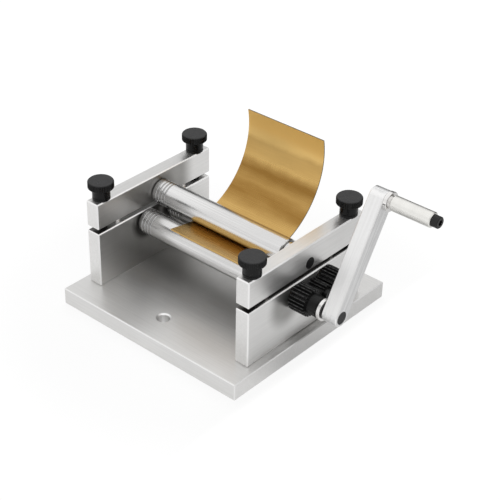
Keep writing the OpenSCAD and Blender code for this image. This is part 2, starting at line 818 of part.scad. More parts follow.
base_plate();
left_cheek();
right_cheek();
cheek_screws();
left_cap();
right_cap();
guide_pins();
thumb_knob_fl();
thumb_knob_rl();
thumb_knob_fr();
thumb_knob_rr();
thumb_stud_fl();
thumb_stud_rl();
thumb_stud_fr();
thumb_stud_rr();
front_roller();
rear_roller();
upper_roller();
roller_spacer();
upper_axle();
front_bush_left();
front_bush_right();
rear_bush_left();
rear_bush_right();
front_gear();
idler_gear();
rear_gear();
front_gear_grub();
rear_gear_grub();
idler_pin();
idler_screw();
crank_collar();
crank_washer();
crank_arm();
crank_screw();
crank_grub();
handle_washer();
handle_sleeve();
handle_screw();
brass_sheet();
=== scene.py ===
import math

import bpy
from mathutils import Matrix, Vector


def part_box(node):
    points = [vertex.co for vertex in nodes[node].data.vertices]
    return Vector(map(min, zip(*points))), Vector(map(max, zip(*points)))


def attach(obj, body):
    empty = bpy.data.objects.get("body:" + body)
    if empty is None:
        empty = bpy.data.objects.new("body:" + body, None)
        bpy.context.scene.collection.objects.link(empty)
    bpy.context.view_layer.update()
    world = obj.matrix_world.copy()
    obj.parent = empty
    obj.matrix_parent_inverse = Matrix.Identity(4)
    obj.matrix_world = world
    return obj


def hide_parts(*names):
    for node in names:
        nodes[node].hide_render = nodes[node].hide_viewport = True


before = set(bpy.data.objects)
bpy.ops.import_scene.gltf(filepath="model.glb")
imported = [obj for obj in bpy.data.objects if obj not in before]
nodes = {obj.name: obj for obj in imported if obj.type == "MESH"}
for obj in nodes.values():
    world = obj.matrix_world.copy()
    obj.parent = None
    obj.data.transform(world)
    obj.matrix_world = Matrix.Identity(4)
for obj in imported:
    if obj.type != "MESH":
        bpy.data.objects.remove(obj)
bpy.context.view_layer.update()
scene = bpy.context.scene
scene.view_settings.view_transform = "Standard"


# Camera
# A long lens looks down on the machine from its front right, about 1.2 metres away. The eye is placed
# by its direction from the machine and by how far the frame is shifted.
camera_azimuth = math.radians(40.60)
camera_elevation = math.radians(33.13)
camera_roll = math.radians(1.23)
camera_distance = 1.18875
camera_right = 0.02233
camera_up = 0.04417
sensor_width = 36
focal_length = 96.53

to_camera = Vector((math.sin(camera_azimuth) * math.cos(camera_elevation),
                    -math.cos(camera_azimuth) * math.cos(camera_elevation),
                    math.sin(camera_elevation)))
level_right = Vector((math.cos(camera_azimuth), math.sin(camera_azimuth), 0))
upright = to_camera.cross(level_right)
frame_right = math.cos(camera_roll) * level_right + math.sin(camera_roll) * upright
frame_up = math.cos(camera_roll) * upright - math.sin(camera_roll) * level_right
eye = to_camera * camera_distance + frame_right * camera_right + frame_up * camera_up
camera_turn = Matrix((frame_right, frame_up, to_camera)).transposed().to_4x4()

lens = bpy.data.cameras.new("camera")
lens.sensor_width = sensor_width
lens.lens = focal_length
camera = bpy.data.objects.new("camera", lens)
scene.collection.objects.link(camera)
camera.matrix_world = Matrix.Translation(eye) @ camera_turn
scene.camera = camera


# Floor
# The bench is a plain white board that ends beside the base, so that the crank can turn past its edge,
# and the floor beyond it is as white. Both look white to the camera and pale in the metal, shaded where
# the crank hangs. Part of their light comes from the lamps, so that the machine's soft shadow stays.
floor_half = 3.0
bench_end = 0.120
bench_drop = 0.12
floor_white = (0.90, 0.90, 0.90, 1)
# The share of glow in the boards' light, its strength to the camera, and where the shadow fades out.
floor_glow = 0.80
seen_strength = 1.05
shadow_near = 0.16
shadow_far = 0.30
shadow_edge = 0.104
# The boards' glow in the metal near the machine and far away, and the side where it is brightest.
front_side = (-0.09, -1.0, 0.0)
near_end = 0.20
far_start = 0.55
near_glow = 0.98
far_glow = 0.65
front_glow = 0.65
# The crank's shade in that glow: its reach from front to rear, from left to right, and on a strip.
crank_front = -0.080
crank_full = -0.022
crank_fading = 0.00
crank_rear = 0.05
rear_lighter = 0.45
crank_side_start = 0.04
crank_side_end = 0.13
crank_shade = 0.32
strip_start = 0.096
strip_full = 0.100
strip_fading = 0.116
strip_end = 0.132
strip_shade = 0.26


class Signal:
    """A socket in a node tree. Python's operators on it add Math nodes, and node() adds any other."""

    def __init__(self, tree, socket=None):
        self.tree = tree
        self.socket = socket

    def node(self, kind, settings=(), values=(), output=0):
        """Adds a node of that kind with its settings, and then its sockets' values or links."""
        made = self.tree.nodes.new(kind)
        for name, setting in dict(settings).items():
            setattr(made, name, setting)
        for name, value in dict(values).items():
            if isinstance(value, Signal):
                self.tree.links.new(value.socket, made.inputs[name])
            else:
                made.inputs[name].default_value = value
        return Signal(self.tree, made.outputs[output])

    def math(self, operation, *terms):
        """Adds a Math node on those terms."""
        return self.node("ShaderNodeMath", {"operation": operation}, enumerate(terms))

    def __add__(self, other):
        return self.math("ADD", self, other)

    def __radd__(self, other):
        return self.math("ADD", other, self)

    def __sub__(self, other):
        return self.math("SUBTRACT", self, other)

    def __rsub__(self, other):
        return self.math("SUBTRACT", other, self)

    def __mul__(self, other):
        return self.math("MULTIPLY", self, other)

    def __rmul__(self, other):
        return self.math("MULTIPLY", other, self)

    def __truediv__(self, other):
        return self.math("DIVIDE", self, other)

    def __rtruediv__(self, other):
        return self.math("DIVIDE", other, self)

    def __abs__(self):
        return self.math("ABSOLUTE", self)

    def above(self, limit):
        """1 where the signal is greater than the limit, and 0 elsewhere."""
        return self.math("GREATER_THAN", self, limit)

    def larger(self, other):
        """The larger of the two signals."""
        return self.math("MAXIMUM", self, other)

    def smaller(self, other):
        """The smaller of the two signals."""
        return self.math("MINIMUM", self, other)

    def angle(self, other):
        """The angle, in radians, whose sine goes with this signal and whose cosine with the other."""
        return self.math("ARCTAN2", self, other)

    def between(self, low, high):
        """Rises smoothly from 0 at low to 1 at high."""
        return self.node("ShaderNodeMapRange", {"interpolation_type": "SMOOTHSTEP"},
                         {0: self, 1: low, 2: high})

    def swing(self, size):
        """Noise, which is centred on a half, as a swing of that size round zero."""
        return (self - 0.5) * size

    def blend(self, first, second):
        """The first colour where the signal is 0, and the second where it is 1."""
        return self.node("ShaderNodeMix", {"data_type": "RGBA"}, {0: self, 6: first, 7: second},
                         output=2)

    def ramp(self, stops):
        """Values read off a line through the given stops."""
        made = self.node("ShaderNodeValToRGB", {}, {0: self})
        line = made.socket.node.color_ramp.elements
        while len(line) < len(stops):
            line.new(1.0)
        for point, (place, value) in zip(line, stops):
            point.position = place
            point.color = (value, value, value, 1)
        return made

    def patches(self, sizes, detail=3):
        """Noise by the position, in patches of those sizes along the axes, in metres."""
        stretched = self.node("ShaderNodeVectorMath", {"operation": "MULTIPLY"},
                              {0: self, 1: tuple(1 / size for size in sizes)})
        return stretched.node("ShaderNodeTexNoise", {},
                              {"Vector": stretched, "Scale": 1, "Detail": detail})

    def axis(self, name):
        """The part of a vector along the named axis."""
        return self.node("ShaderNodeSeparateXYZ", {}, {0: self}, output=name)

    def from_point(self, point):
        """The position as seen from that point."""
        return self.node("ShaderNodeVectorMath", {"operation": "SUBTRACT"}, {0: self, 1: point})

    def from_line(self, centre):
        """The position's distance from the line along X through the centre."""
        offset = self.from_point(centre)
        across = offset.node("ShaderNodeVectorMath", {"operation": "MULTIPLY"}, {0: offset, 1: (0, 1, 1)})
        return across.length()

    def length(self):
        """The length of a vector."""
        return self.node("ShaderNodeVectorMath", {"operation": "LENGTH"}, {0: self}, output="Value")

    def along(self, way):
        """The length of a vector along the given direction."""
        return self.node("ShaderNodeVectorMath", {"operation": "DOT_PRODUCT"}, {0: self, 1: way},
                         output="Value")


def seen_rays(tree):
    """Two signals: 1 for the camera's own rays, and 1 for the rays that a gloss or a glass sends out."""
    to_eye = Signal(tree).node("ShaderNodeLightPath", output="Is Camera Ray")
    sources = to_eye.socket.node.outputs
    mirrored = Signal(tree, sources["Is Glossy Ray"]) + Signal(tree, sources["Is Transmission Ray"])
    return to_eye, mirrored.smaller(1)


def glow_in_metal(place, distance):
    """How bright the boards look in the metal. Near the machine they are shaded under the crank and on
    the strip beside the plate, and far away they are brightest in front of it."""
    x = place.axis("X")
    y = place.axis("Y")
    at_crank = y.between(crank_front, crank_full) * (1 - y.between(crank_fading, crank_rear) * rear_lighter)
    under_crank = x.between(crank_side_start, crank_side_end) * at_crank
    on_strip = x.between(strip_start, strip_full) * (1 - x.between(strip_fading, strip_end)) * at_crank
    near = (1 - under_crank * crank_shade) * (1 - on_strip * strip_shade) * near_glow
    frontal = place.along(front_side) / distance * 0.5 + 0.5
    far = frontal * front_glow + far_glow
    away = distance.between(near_end, far_start)
    return near * (1 - away) + far * away


def white_board(name, outline):
    """A flat board of the stage, white where it is seen and keeping its shadows near the machine."""
    mesh = bpy.data.meshes.new(name)
    mesh.from_pydata(outline, [], [range(len(outline))])
    board = bpy.data.objects.new(name, mesh)
    scene.collection.objects.link(board)
    paint = bpy.data.materials.new(name)
    paint.use_nodes = True
    tree = paint.node_tree
    tree.nodes.clear()
    place = Signal(tree).node("ShaderNodeTexCoord", output="Object")
    distance = place.length()
    to_eye, mirrored = seen_rays(tree)
    strength = to_eye * seen_strength + (1 - to_eye) * glow_in_metal(place, distance)
    unshadowed = distance.between(shadow_near, shadow_far)
    unshadowed = unshadowed.larger(place.axis("X").between(shadow_edge, bench_end))
    glow_share = (to_eye + mirrored) * floor_glow + to_eye * unshadowed * (1 - floor_glow)
    matt = place.node("ShaderNodeBsdfDiffuse", {}, {"Color": floor_white})
    glow = place.node("ShaderNodeEmission", {}, {"Strength": strength})
    mixed = place.node("ShaderNodeMixShader", {}, {0: glow_share, 1: matt, 2: glow})
    tree.links.new(mixed.socket, tree.nodes.new("ShaderNodeOutputMaterial").inputs["Surface"])
    mesh.materials.append(paint)


white_board("bench", [(-floor_half, -floor_half, 0), (bench_end, -floor_half, 0),
                      (bench_end, floor_half, 0), (-floor_half, floor_half, 0)])
white_board("bench_side", [(bench_end, -floor_half, -bench_drop), (bench_end, floor_half, -bench_drop),
                           (bench_end, floor_half, 0), (bench_end, -floor_half, 0)])
white_board("floor", [(bench_end, -floor_half, -bench_drop), (floor_half, -floor_half, -bench_drop),
                      (floor_half, floor_half, -bench_drop), (bench_end, floor_half, -bench_drop)])


# Studio light
# One wide soft lamp hangs over the machine's back left side and another stands at its front right. The
# room's walls are bright in front of the machine and dark behind it, under a white ceiling.
key_size = 1.6
key_watts = 10
key_place = Vector((-0.55, 0.55, 1.5))
fill_size = 1.2
fill_watts = 4.4
fill_place = Vector((1.2, -0.9, 0.9))
lit_point = Vector((0, 0, 0.05))
plain_white = (1, 1, 1, 1)
dim_strength = 0.50
wall_middle = 0.54
wall_swing = 0.52
ceiling_middle = 1.15
ceiling_swing = 0.10
ceiling_start = 0.30
ceiling_full = 0.62


def soft_lamp(name, size, watts, place):
    """A round lamp that points at the machine and doesn't show in the metal."""
    lamp = bpy.data.lights.new(name, "AREA")
    lamp.shape = "DISK"
    lamp.size = size
    lamp.energy = watts
    light = bpy.data.objects.new(name, lamp)
    scene.collection.objects.link(light)
    light.visible_glossy = False
    lamp_turn = (place - lit_point).to_track_quat("Z", "Y").to_matrix().to_4x4()
    light.matrix_world = Matrix.Translation(place) @ lamp_turn


def plain_light(tree, strength):
    """White light of that strength from the room."""
    return Signal(tree).node("ShaderNodeBackground", {}, {"Strength": strength, "Color": plain_white})


soft_lamp("key", key_size, key_watts, key_place)
soft_lamp("fill", fill_size, fill_watts, fill_place)

room = bpy.data.worlds.new("room")
scene.world = room
room.use_nodes = True
room_tree = room.node_tree
room_tree.nodes.clear()
direction = Signal(room_tree).node("ShaderNodeTexCoord", output="Generated")
walls = direction.along(front_side) * wall_swing + wall_middle
ceiling = direction.axis("X") * ceiling_swing + ceiling_middle
overhead = direction.axis("Z").between(ceiling_start, ceiling_full)
room_glow = walls * (1 - overhead) + ceiling * overhead
eye_rays, mirror_rays = seen_rays(room_tree)
dim_room = plain_light(room_tree, dim_strength)
mirrored_room = plain_light(room_tree, room_glow.larger(0))
seen_room = plain_light(room_tree, 1)
lit_room = direction.node("ShaderNodeMixShader", {}, {0: mirror_rays, 1: dim_room, 2: mirrored_room})
shown_room = direction.node("ShaderNodeMixShader", {}, {0: eye_rays, 1: lit_room, 2: seen_room})
room_tree.links.new(shown_room.socket, room_tree.nodes.new("ShaderNodeOutputWorld").inputs["Surface"])


# Base plate
# A thick square of rolled aluminium, sawn to size, brushed from side to side and bevelled round its
# edges, with two bevelled holes for bench bolts. Its bevels carry a painted highlight, and the middle
# of its top, under the rollers, is darkened with painted shade.
plate_bright = (0.78, 0.775, 0.765, 1)
plate_dark = (0.72, 0.715, 0.705, 1)
plate_roughness = 0.36
plate_shine = 0.80
# The bevels' colour is a painted highlight.
bevel_highlight = (0.88, 0.875, 0.87, 1)
# The grey and the near-black of painted shade.
shade_grey = (0.32, 0.315, 0.305, 1)
deep_shade_grey = (0.06, 0.058, 0.055, 1)
# How much of its direction a face has along an axis if it looks that way, or if it is a bevel.
mostly = 0.5
bevel_start = 0.80
bevel_end = 0.95
# The brush's lines and bands: how wide and long they are, how deep, and how they change the tone.
brush_fine = 0.00022
brush_band = 0.0016
brush_long = 0.045
brush_depth = 0.0000012
band_rise = 0.8
band_share = 0.6
band_dull = 0.12
wear_patch = (0.03, 0.03, 0.03)
wear_dull = 0.08
brush_low = 0.3
brush_high = 0.7
# How strong the painted shade is on the metal: the least, and what the wear's patches add to it.
shade_least = 0.8
shade_swing = 0.4
# The painted shade under the rollers on the plate: its reach from front to rear, and how strong it is.
under_shade_front = -0.038
under_shade_full = -0.010
under_shade_fading = 0.035
under_shade_rear = 0.060
under_shade = 0.75


class Finish:
    """A material being made: its shader, what feeds it, and the place and outward direction of a point."""

    def __init__(self, name, constants):
        self.material = bpy.data.materials.new(name)
        self.material.use_nodes = True
        tree = self.material.node_tree
        self.shader = tree.nodes["Principled BSDF"]
        self.fed = {}
        self.place = Signal(tree).node("ShaderNodeTexCoord", output="Object")
        self.outward = Signal(tree, self.place.socket.node.outputs["Normal"])
        for socket, value in constants.items():
            self.shader.inputs[socket].default_value = value

    def feed(self, socket, signal):
        """Links the signal to a socket of the shader, in place of what fed it before."""
        self.fed[socket] = signal
        self.shader.id_data.links.new(signal.socket, self.shader.inputs[socket])

    def relief(self, height, depth):
        """Raises the surface by the height signal times a depth in metres."""
        self.feed("Normal", height.node("ShaderNodeBump", {}, {"Height": height, "Distance": depth}))

    def bevels(self):
        """1 on the narrow bevels between two faces, which carry a painted highlight."""
        x, y, z = (abs(self.outward.axis(letter)) for letter in "XYZ")
        return 1 - x.larger(y).larger(z).between(bevel_start, bevel_end)

    def put_on(self, *names):
        """Gives the material to those nodes of the CAD model."""
        for name in names:
            nodes[name].material_slots[0].material = self.material


def brushed(name, bright, dark, roughness, shine, grain, shade_of):
    """Satin aluminium with fine lines along the grain's axis, and wider faint streaks of the same brush.
    The shine is the share of light that it mirrors, and the rest it scatters as a blasted face does.
    The function passed in gives by the place on the piece how much painted shade it has: 1 is a grey
    and 2 a near-black painted shade. The bevels carry a painted highlight."""
    finish = Finish(name, {"Metallic": shine})
    line_patch = [brush_long if letter == grain else brush_fine for letter in "XYZ"]
    band_patch = [brush_long if letter == grain else brush_band for letter in "XYZ"]
    lines = finish.place.patches(line_patch)
    bands = finish.place.patches(band_patch, detail=2)
    wear = finish.place.patches(wear_patch)
    brightness = (bands * band_share + wear * (1 - band_share)).between(brush_low, brush_high)
    clean = finish.bevels().blend(brightness.blend(dark, bright), bevel_highlight)
    # The mask's painted shade darkens the clean metal towards grey and then near-black.
    painted_shade = shade_of(finish) * (shade_least + wear * shade_swing)
    finish.feed("Base Color", (painted_shade - 1).blend(painted_shade.blend(clean, shade_grey), deep_shade_grey))
    finish.feed("Roughness", roughness + bands.swing(band_dull) + wear.swing(wear_dull))
    finish.relief(lines + bands * band_rise, brush_depth)
    return finish


def shade_under_rollers(finish):
    """Painted shade under the rollers, on the middle of the plate's top."""
    y = finish.place.axis("Y")
    under = y.between(under_shade_front, under_shade_full) * (1 - y.between(under_shade_fading, under_shade_rear))
    return under * finish.outward.axis("Z").above(mostly) * under_shade


plate = brushed("plate_aluminium", plate_bright, plate_dark, plate_roughness, plate_shine, "X",
                shade_under_rollers)
plate.put_on("base_plate")


# Side blocks
# Two upright aluminium blocks carry the lower rollers. They are fly-cut lengthwise, bevelled round
# their edges and pulled down on the plate by cap screws from below. Painted shade darkens their inner
# faces round the rollers' ends and the gap over them, and a painted shadow and reflection of the front
# gear darkens the right block beside it.
block_bright = (0.82, 0.815, 0.805, 1)
block_dark = (0.75, 0.745, 0.735, 1)
block_roughness = 0.34
block_shine = 0.90
# Points closer to a face than a hair lie on it.
hair = 0.0002
# The inner faces' painted shade, from front to rear, and its halo round each roller, weaker on the bars.
inner_front = -0.110
inner_full = -0.010
inner_fading = 0.026
inner_rear = 0.045
halo_width = 0.009
halo_shade = 1.35
bar_less_shade = 0.70
# The gap's painted shade: the unshaded rim, its extra width on the left block, and where the rim starts.
gap_unshaded = 0.0016
gap_full = 0.0030
left_wider = 0.0032
gap_front = -0.068
gap_open = -0.050
gap_shade = 1.8
# The painted shadow and reflection of the front gear, by how far it is from a line along X.
gear_shade_line = (0, -0.028, 0.054)
gear_shade_near = 0.010
gear_shade_far = 0.026
gear_shade = 0.9
# The blackened steel of the screws, with clouds in the blackening and a fine grain.
black_colour = (0.012, 0.012, 0.012, 1)
black_roughness = 0.36
black_gloss = 0.3
gloss_ior = 1.5
black_depth = 0.00002
black_shade = 0.7
cloud_patch = (0.004, 0.004, 0.004)
cloud_low = 0.25
cloud_high = 0.75
cloud_dull = 0.15
grain_patch = (0.0004, 0.0004, 0.0004)


def box_of(name):
    """The low and the high corner of a piece's box."""
    return [Vector(corner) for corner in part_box(name)]


def centre_of(name):
    """The middle of a piece's box."""
    low, high = box_of(name)
    return (low + high) / 2


inside_left = box_of("left_cheek")[1].x
outside_right = box_of("right_cheek")[1].x
block_top = box_of("left_cheek")[1].z
bar_bottom = box_of("left_cap")[0].z
roller_radius = (box_of("front_roller")[1].z - box_of("front_roller")[0].z) / 2


def from_rollers(place):
    """The distance of a point from the nearest roller's axis."""
    front, rear, upper = (place.from_line(centre_of(name))
                          for name in ("front_roller", "rear_roller", "upper_roller"))
    return front.smaller(rear).smaller(upper)


def shade_by_rollers(place):
    """Painted shade on the faces that look inwards, and most of it round the rollers' ends."""
    x, y, z = (place.axis(letter) for letter in "XYZ")
    inward = 1 - abs(x).above(hair - inside_left)
    behind = inward * y.between(inner_front, inner_full) * (1 - y.between(inner_fading, inner_rear))
    outside_halo = from_rollers(place).between(roller_radius, roller_radius + halo_width)
    halo = inward * (1 - outside_halo) * halo_shade
    return behind + halo * (1 - z.above(bar_bottom) * bar_less_shade)


def shade_in_gap(place):
    """Painted shade on the blocks' tops and the bars' undersides, deep in the gap between them. A rim
    beside the right block's outer face and the left block's inner face is left unshaded, but not at the
    front end."""
    x, y, z = (place.axis(letter) for letter in "XYZ")
    in_gap = z.above(block_top - hair) * (1 - z.above(bar_bottom + hair))
    on_left = 1 - x.above(0)
    depth = outside_right + on_left * (inside_left - outside_right - left_wider) - x
    deep = depth.between(gap_unshaded, gap_full).larger(1 - y.between(gap_front, gap_open))
    return in_gap * deep * gap_shade


def shade_by_gear(place):
    """A painted shadow and reflection of the front gear on the right block's outer face beside it."""
    outer_face = place.axis("X").above(outside_right - hair)
    return outer_face * (1 - place.from_line(gear_shade_line).between(gear_shade_near, gear_shade_far)) * gear_shade


def shade_on_blocks(finish):
    """The strongest of the three painted shades at each point of the blocks and bars."""
    by_rollers = shade_by_rollers(finish.place)
    return by_rollers.larger(shade_in_gap(finish.place)).larger(shade_by_gear(finish.place))


blocks = brushed("block_aluminium", block_bright, block_dark, block_roughness, block_shine, "Y",
                 shade_on_blocks)
blocks.put_on("left_cheek", "right_cheek")


def blackened(name, colour, roughness, gloss):
    """Chemically blackened steel: dark, a little uneven, with a waxy sheen."""
    finish = Finish(name, {"IOR": gloss_ior, "Specular IOR Level": gloss})
    cloud = finish.place.patches(cloud_patch, detail=4)
    shaded = tuple(black_shade * part for part in colour[:3]) + (1,)
    finish.feed("Base Color", cloud.between(cloud_low, cloud_high).blend(shaded, colour))
    finish.feed("Roughness", roughness + cloud.swing(cloud_dull))
    finish.relief(finish.place.patches(grain_patch), black_depth)
    return finish


black = blackened("black_steel", black_colour, black_roughness, black_gloss)
black.put_on("cheek_screws")


# Bushes
# Flanged bronze sleeves pressed into the side blocks from outside, in which the lower rollers turn.
# Bushes like these are turned from porous bar and show fine rings. Their near-black colour is painted
# shade for the narrow dark gaps round them.
shaded_bronze_light = (0.13, 0.10, 0.075, 1)
shaded_bronze_deep = (0.08, 0.06, 0.045, 1)
bronze_roughness = 0.45
bronze_rings = 0.000004
ring_patch = (0.0003, 0.02, 0.02)
turned_patch = (0.004, 0.05, 0.05)
turned_wear = (0.012, 0.012, 0.012)
turned_share = 0.5
turned_low = 0.3
turned_high = 0.7
turned_dull = 0.04


def turned(name, bright, dark, roughness, depth):
    """Metal turned or ground on the machine's X axis, with fine rings round it."""
    finish = Finish(name, {"Metallic": 1})
    bands = finish.place.patches(turned_patch, detail=2)
    wear = finish.place.patches(turned_wear)
    brightness = (bands * turned_share + wear * (1 - turned_share)).between(turned_low, turned_high)
    finish.feed("Base Color", brightness.blend(dark, bright))
    finish.feed("Roughness", roughness + bands.swing(turned_dull) + wear.swing(turned_dull))
    finish.relief(finish.place.patches(ring_patch), depth)
    return finish


bronze = turned("bronze", shaded_bronze_light, shaded_bronze_deep, bronze_roughness, bronze_rings)
bronze.put_on("front_bush_left", "front_bush_right", "rear_bush_left", "rear_bush_right")


# Rollers
# The two lower rollers and the forming roller over them are ground steel bars with faint streaks
# lengthwise. Half-round grooves for wire run round their left ends, darkened with painted shade, and a
# spacer ring keeps the forming roller to the left.
roller_bright = (0.75, 0.745, 0.74, 1)
roller_dark = (0.65, 0.645, 0.64, 1)
roller_roughness = 0.24
streak_patch = (0.12, 0.0012, 0.0012)
streak_share = 0.6
streak_dull = 0.10
streak_depth = 0.0000006
rub_patch = (0.05, 0.012, 0.012)
streak_low = 0.35
streak_high = 0.65
# The grooves' grey is painted shade.
groove_shade = (0.20, 0.20, 0.20, 1)
groove_shade_share = 0.6
groove_end = -0.055
groove_edge = 0.00005
groove_floor = 0.0005

roller_metal = Finish("roller_steel", {"Metallic": 1})
streaks = roller_metal.place.patches(streak_patch)
rubs = roller_metal.place.patches(rub_patch)
roller_tone = (streaks * streak_share + rubs * (1 - streak_share)).between(streak_low, streak_high)
sunk = (roller_radius - from_rollers(roller_metal.place)).between(groove_edge, groove_floor)
grooved = sunk * (1 - roller_metal.place.axis("X").above(groove_end))
roller_colour = (grooved * groove_shade_share).blend(roller_tone.blend(roller_dark, roller_bright), groove_shade)
roller_metal.feed("Base Color", roller_colour)
roller_metal.feed("Roughness", roller_roughness + streaks.swing(streak_dull))
roller_metal.relief(streaks, streak_depth)
roller_metal.put_on("front_roller", "rear_roller", "upper_roller", "roller_spacer")
black.put_on("upper_axle")


# Bars
# The bars over the side blocks are cut from the same aluminium. They slide on bright dowels fixed in
# the blocks, and carry the forming roller's axle.
pin_bright = (0.80, 0.79, 0.78, 1)
pin_dark = (0.74, 0.73, 0.72, 1)
pin_roughness = 0.15
pin_rings = 0.000003

blocks.put_on("left_cap", "right_cap")
pin_metal = turned("bright_steel", pin_bright, pin_dark, pin_roughness, pin_rings)
pin_metal.put_on("guide_pins")


# Thumb screws
# Each is a moulded black knob with a ribbed head, fixed on a blackened stud that runs down through
# the bar into the side block. The stud is threaded from end to end, as the coarse thread of its size.
knob_black = (0.004, 0.004, 0.004, 1)
# The lighter colour of the knobs' tops is a painted sheen.
knob_top_sheen = (0.040, 0.040, 0.041, 1)
knob_roughness = 0.26
knob_gloss = 0.20
sheen_start = 0.3
sheen_full = 0.9
sheen_least = 0.5
speckle_patch = (0.0005, 0.0005, 0.0005)
speckle_rise = 0.3
rubbed_patch = (0.006, 0.006, 0.006)
rubbed_dull = 0.20
knob_depth = 0.00018
# The thread's pitch, depth and faces, and where its flanks start and end over half a pitch.
thread_pitch = 0.00125
thread_depth = 0.00065
thread_sides = 24
steps_a_turn = 6
crest_from = 0.10
crest_to = 0.42

moulded = Finish("knob_plastic", {"IOR": gloss_ior, "Specular IOR Level": knob_gloss})
speckle = moulded.place.patches(speckle_patch)
rubbed = moulded.place.patches(rubbed_patch)
# The faces that look up get a painted sheen, stronger in the rubbed patches.
top_sheen = moulded.outward.axis("Z").between(sheen_start, sheen_full) * (sheen_least + rubbed)
moulded.feed("Base Color", top_sheen.blend(knob_black, knob_top_sheen))
moulded.feed("Roughness", knob_roughness + rubbed.swing(rubbed_dull))
moulded.relief(speckle * speckle_rise + rubbed, knob_depth)


def thread_tree():
    """A Geometry Nodes tree that makes an upright rod with a thread, which fades out at both ends."""
    tree = bpy.data.node_groups.new("threaded_stud", "GeometryNodeTree")
    asked = {"Length": "Float", "Radius": "Float", "Pitch": "Float", "Depth": "Float", "Steps": "Int",
             "Centre": "Vector", "Material": "Material"}
    for name, kind in asked.items():
        tree.interface.new_socket(name, in_out="INPUT", socket_type="NodeSocket" + kind)
    tree.interface.new_socket("Geometry", in_out="OUTPUT", socket_type="NodeSocketGeometry")
    given = tree.nodes.new("NodeGroupInput").outputs
    length, radius, pitch, depth, steps, centre, metal = (Signal(tree, given[name]) for name in asked)
    rod = length.node("GeometryNodeMeshCylinder", {}, {"Vertices": thread_sides, "Side Segments": steps,
                                                       "Radius": radius, "Depth": length})
    spot = rod.node("GeometryNodeInputPosition")
    x, y, z = (spot.axis(letter) for letter in "XYZ")
    turns = z / pitch - y.angle(x) / math.tau
    crest = turns.math("PINGPONG", turns, 0.5).between(crest_from, crest_to)
    whole = (length / 2 - abs(z)).between(0, pitch)
    narrower = (radius - depth * (1 - crest * whole)) / radius
    cut = rod.node("ShaderNodeCombineXYZ", {}, {"X": narrower, "Y": narrower, "Z": 1})
    placed = spot.node("ShaderNodeVectorMath", {"operation": "MULTIPLY_ADD"}, {0: spot, 1: cut, 2: centre})
    stud = rod.node("GeometryNodeSetPosition", {}, {"Geometry": rod, "Position": placed})
    stud = stud.node("GeometryNodeRealizeInstances", {}, {"Geometry": stud})
    stud = stud.node("GeometryNodeSetMaterial", {}, {"Geometry": stud, "Material": metal})
    tree.links.new(stud.socket, tree.nodes.new("NodeGroupOutput").inputs["Geometry"])
    return tree


def threaded_stud(name, tree, place_of):
    """A plain mesh made by the tree, in the place of a CAD stud and as long and thick as it is."""
    low, high = box_of(place_of)
    stud_length = high.z - low.z
    sizes = {"Length": stud_length, "Radius": (high.y - low.y) / 2, "Pitch": thread_pitch,
             "Depth": thread_depth, "Steps": round(stud_length / thread_pitch * steps_a_turn),
             "Centre": centre_of(place_of), "Material": black.material}
    stud = bpy.data.objects.new(name, bpy.data.meshes.new(name))
    scene.collection.objects.link(stud)
    making = stud.modifiers.new("making", "NODES")
    making.node_group = tree
    for socket in tree.interface.items_tree:
        if socket.in_out == "INPUT":
            making[socket.identifier] = sizes[socket.name]
    shaped = stud.evaluated_get(bpy.context.evaluated_depsgraph_get())
    stud.data = bpy.data.meshes.new_from_object(shaped)
    stud.modifiers.clear()
    return stud


stud_tree = thread_tree()
for corner in ("fl", "rl", "fr", "rr"):
    moulded.put_on("thumb_knob_" + corner)
    black.put_on("thumb_stud_" + corner)
    thread = threaded_stud("thread_" + corner, stud_tree, "thumb_stud_" + corner)
    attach(thread, "thumb_" + corner)
    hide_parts("thumb_stud_" + corner)


# Gears
# Two blackened 22-tooth gears with hubs sit on the lower rollers' shafts, joined by a small idler that
# turns on a pin in the side block. Grub screws hold the hubs. The teeth's crests carry a painted highlight.
gear_colour = (0.010, 0.010, 0.010, 1)
gear_roughness = 0.30
gear_gloss = 0.2
# The crests' grey is a painted highlight, broken into short dashes.
crest_highlight = (0.45, 0.45, 0.45, 1)
crest_highlight_share = 0.22
crest_depth = 0.0005
dash_patch = (0.0015, 0.0015, 0.0015)
dash_low = 0.35
dash_high = 0.65


def toothed(name):
    """Blackened steel with a painted highlight on the crests of the gear's teeth."""
    low, high = box_of(name)
    tip = (high.y - low.y) / 2
    finish = blackened(name + "_steel", gear_colour, gear_roughness, gear_gloss)
    crest = finish.place.from_line(centre_of(name)).between(tip - crest_depth, tip)
    dashes = finish.place.patches(dash_patch).between(dash_low, dash_high)
    finish.feed("Base Color", (crest * dashes * crest_highlight_share).blend(finish.fed["Base Color"], crest_highlight))
    finish.put_on(name)


for gear in ("front_gear", "rear_gear", "idler_gear"):
    toothed(gear)
black.put_on("idler_pin", "idler_screw", "front_gear_grub", "rear_gear_grub")


# Crank
# A flat aluminium arm with round ends, milled lengthwise, whose bevels carry a painted highlight. A dark
# collar with a bright rim and a black washer space it from the front gear, and a black screw in the
# shaft's end holds it. The washer's black is painted shade for the thin gap between collar and arm.
arm_bright = (0.86, 0.86, 0.86, 1)
arm_dark = (0.66, 0.66, 0.66, 1)
arm_roughness = 0.34
arm_shine = 0.92
arm_lean = math.radians(31.0)
arm_lines = (0.0003, 0.0003, 0.05)
arm_bands = (0.0014, 0.0014, 0.05)
arm_knocks = (0.006, 0.006, 0.006)
arm_band_share = 0.6
arm_line_share = 0.3
arm_low = 0.35
arm_high = 0.65
arm_dull = 0.2
arm_depth = 0.0000022
collar_dark = (0.015, 0.015, 0.015, 1)
collar_bright = (0.82, 0.81, 0.80, 1)
collar_roughness = 0.30
collar_rim = 0.0028
rim_least = 0.9
rim_swing = 0.2
rim_dull = 0.1
rim_depth = 0.000001

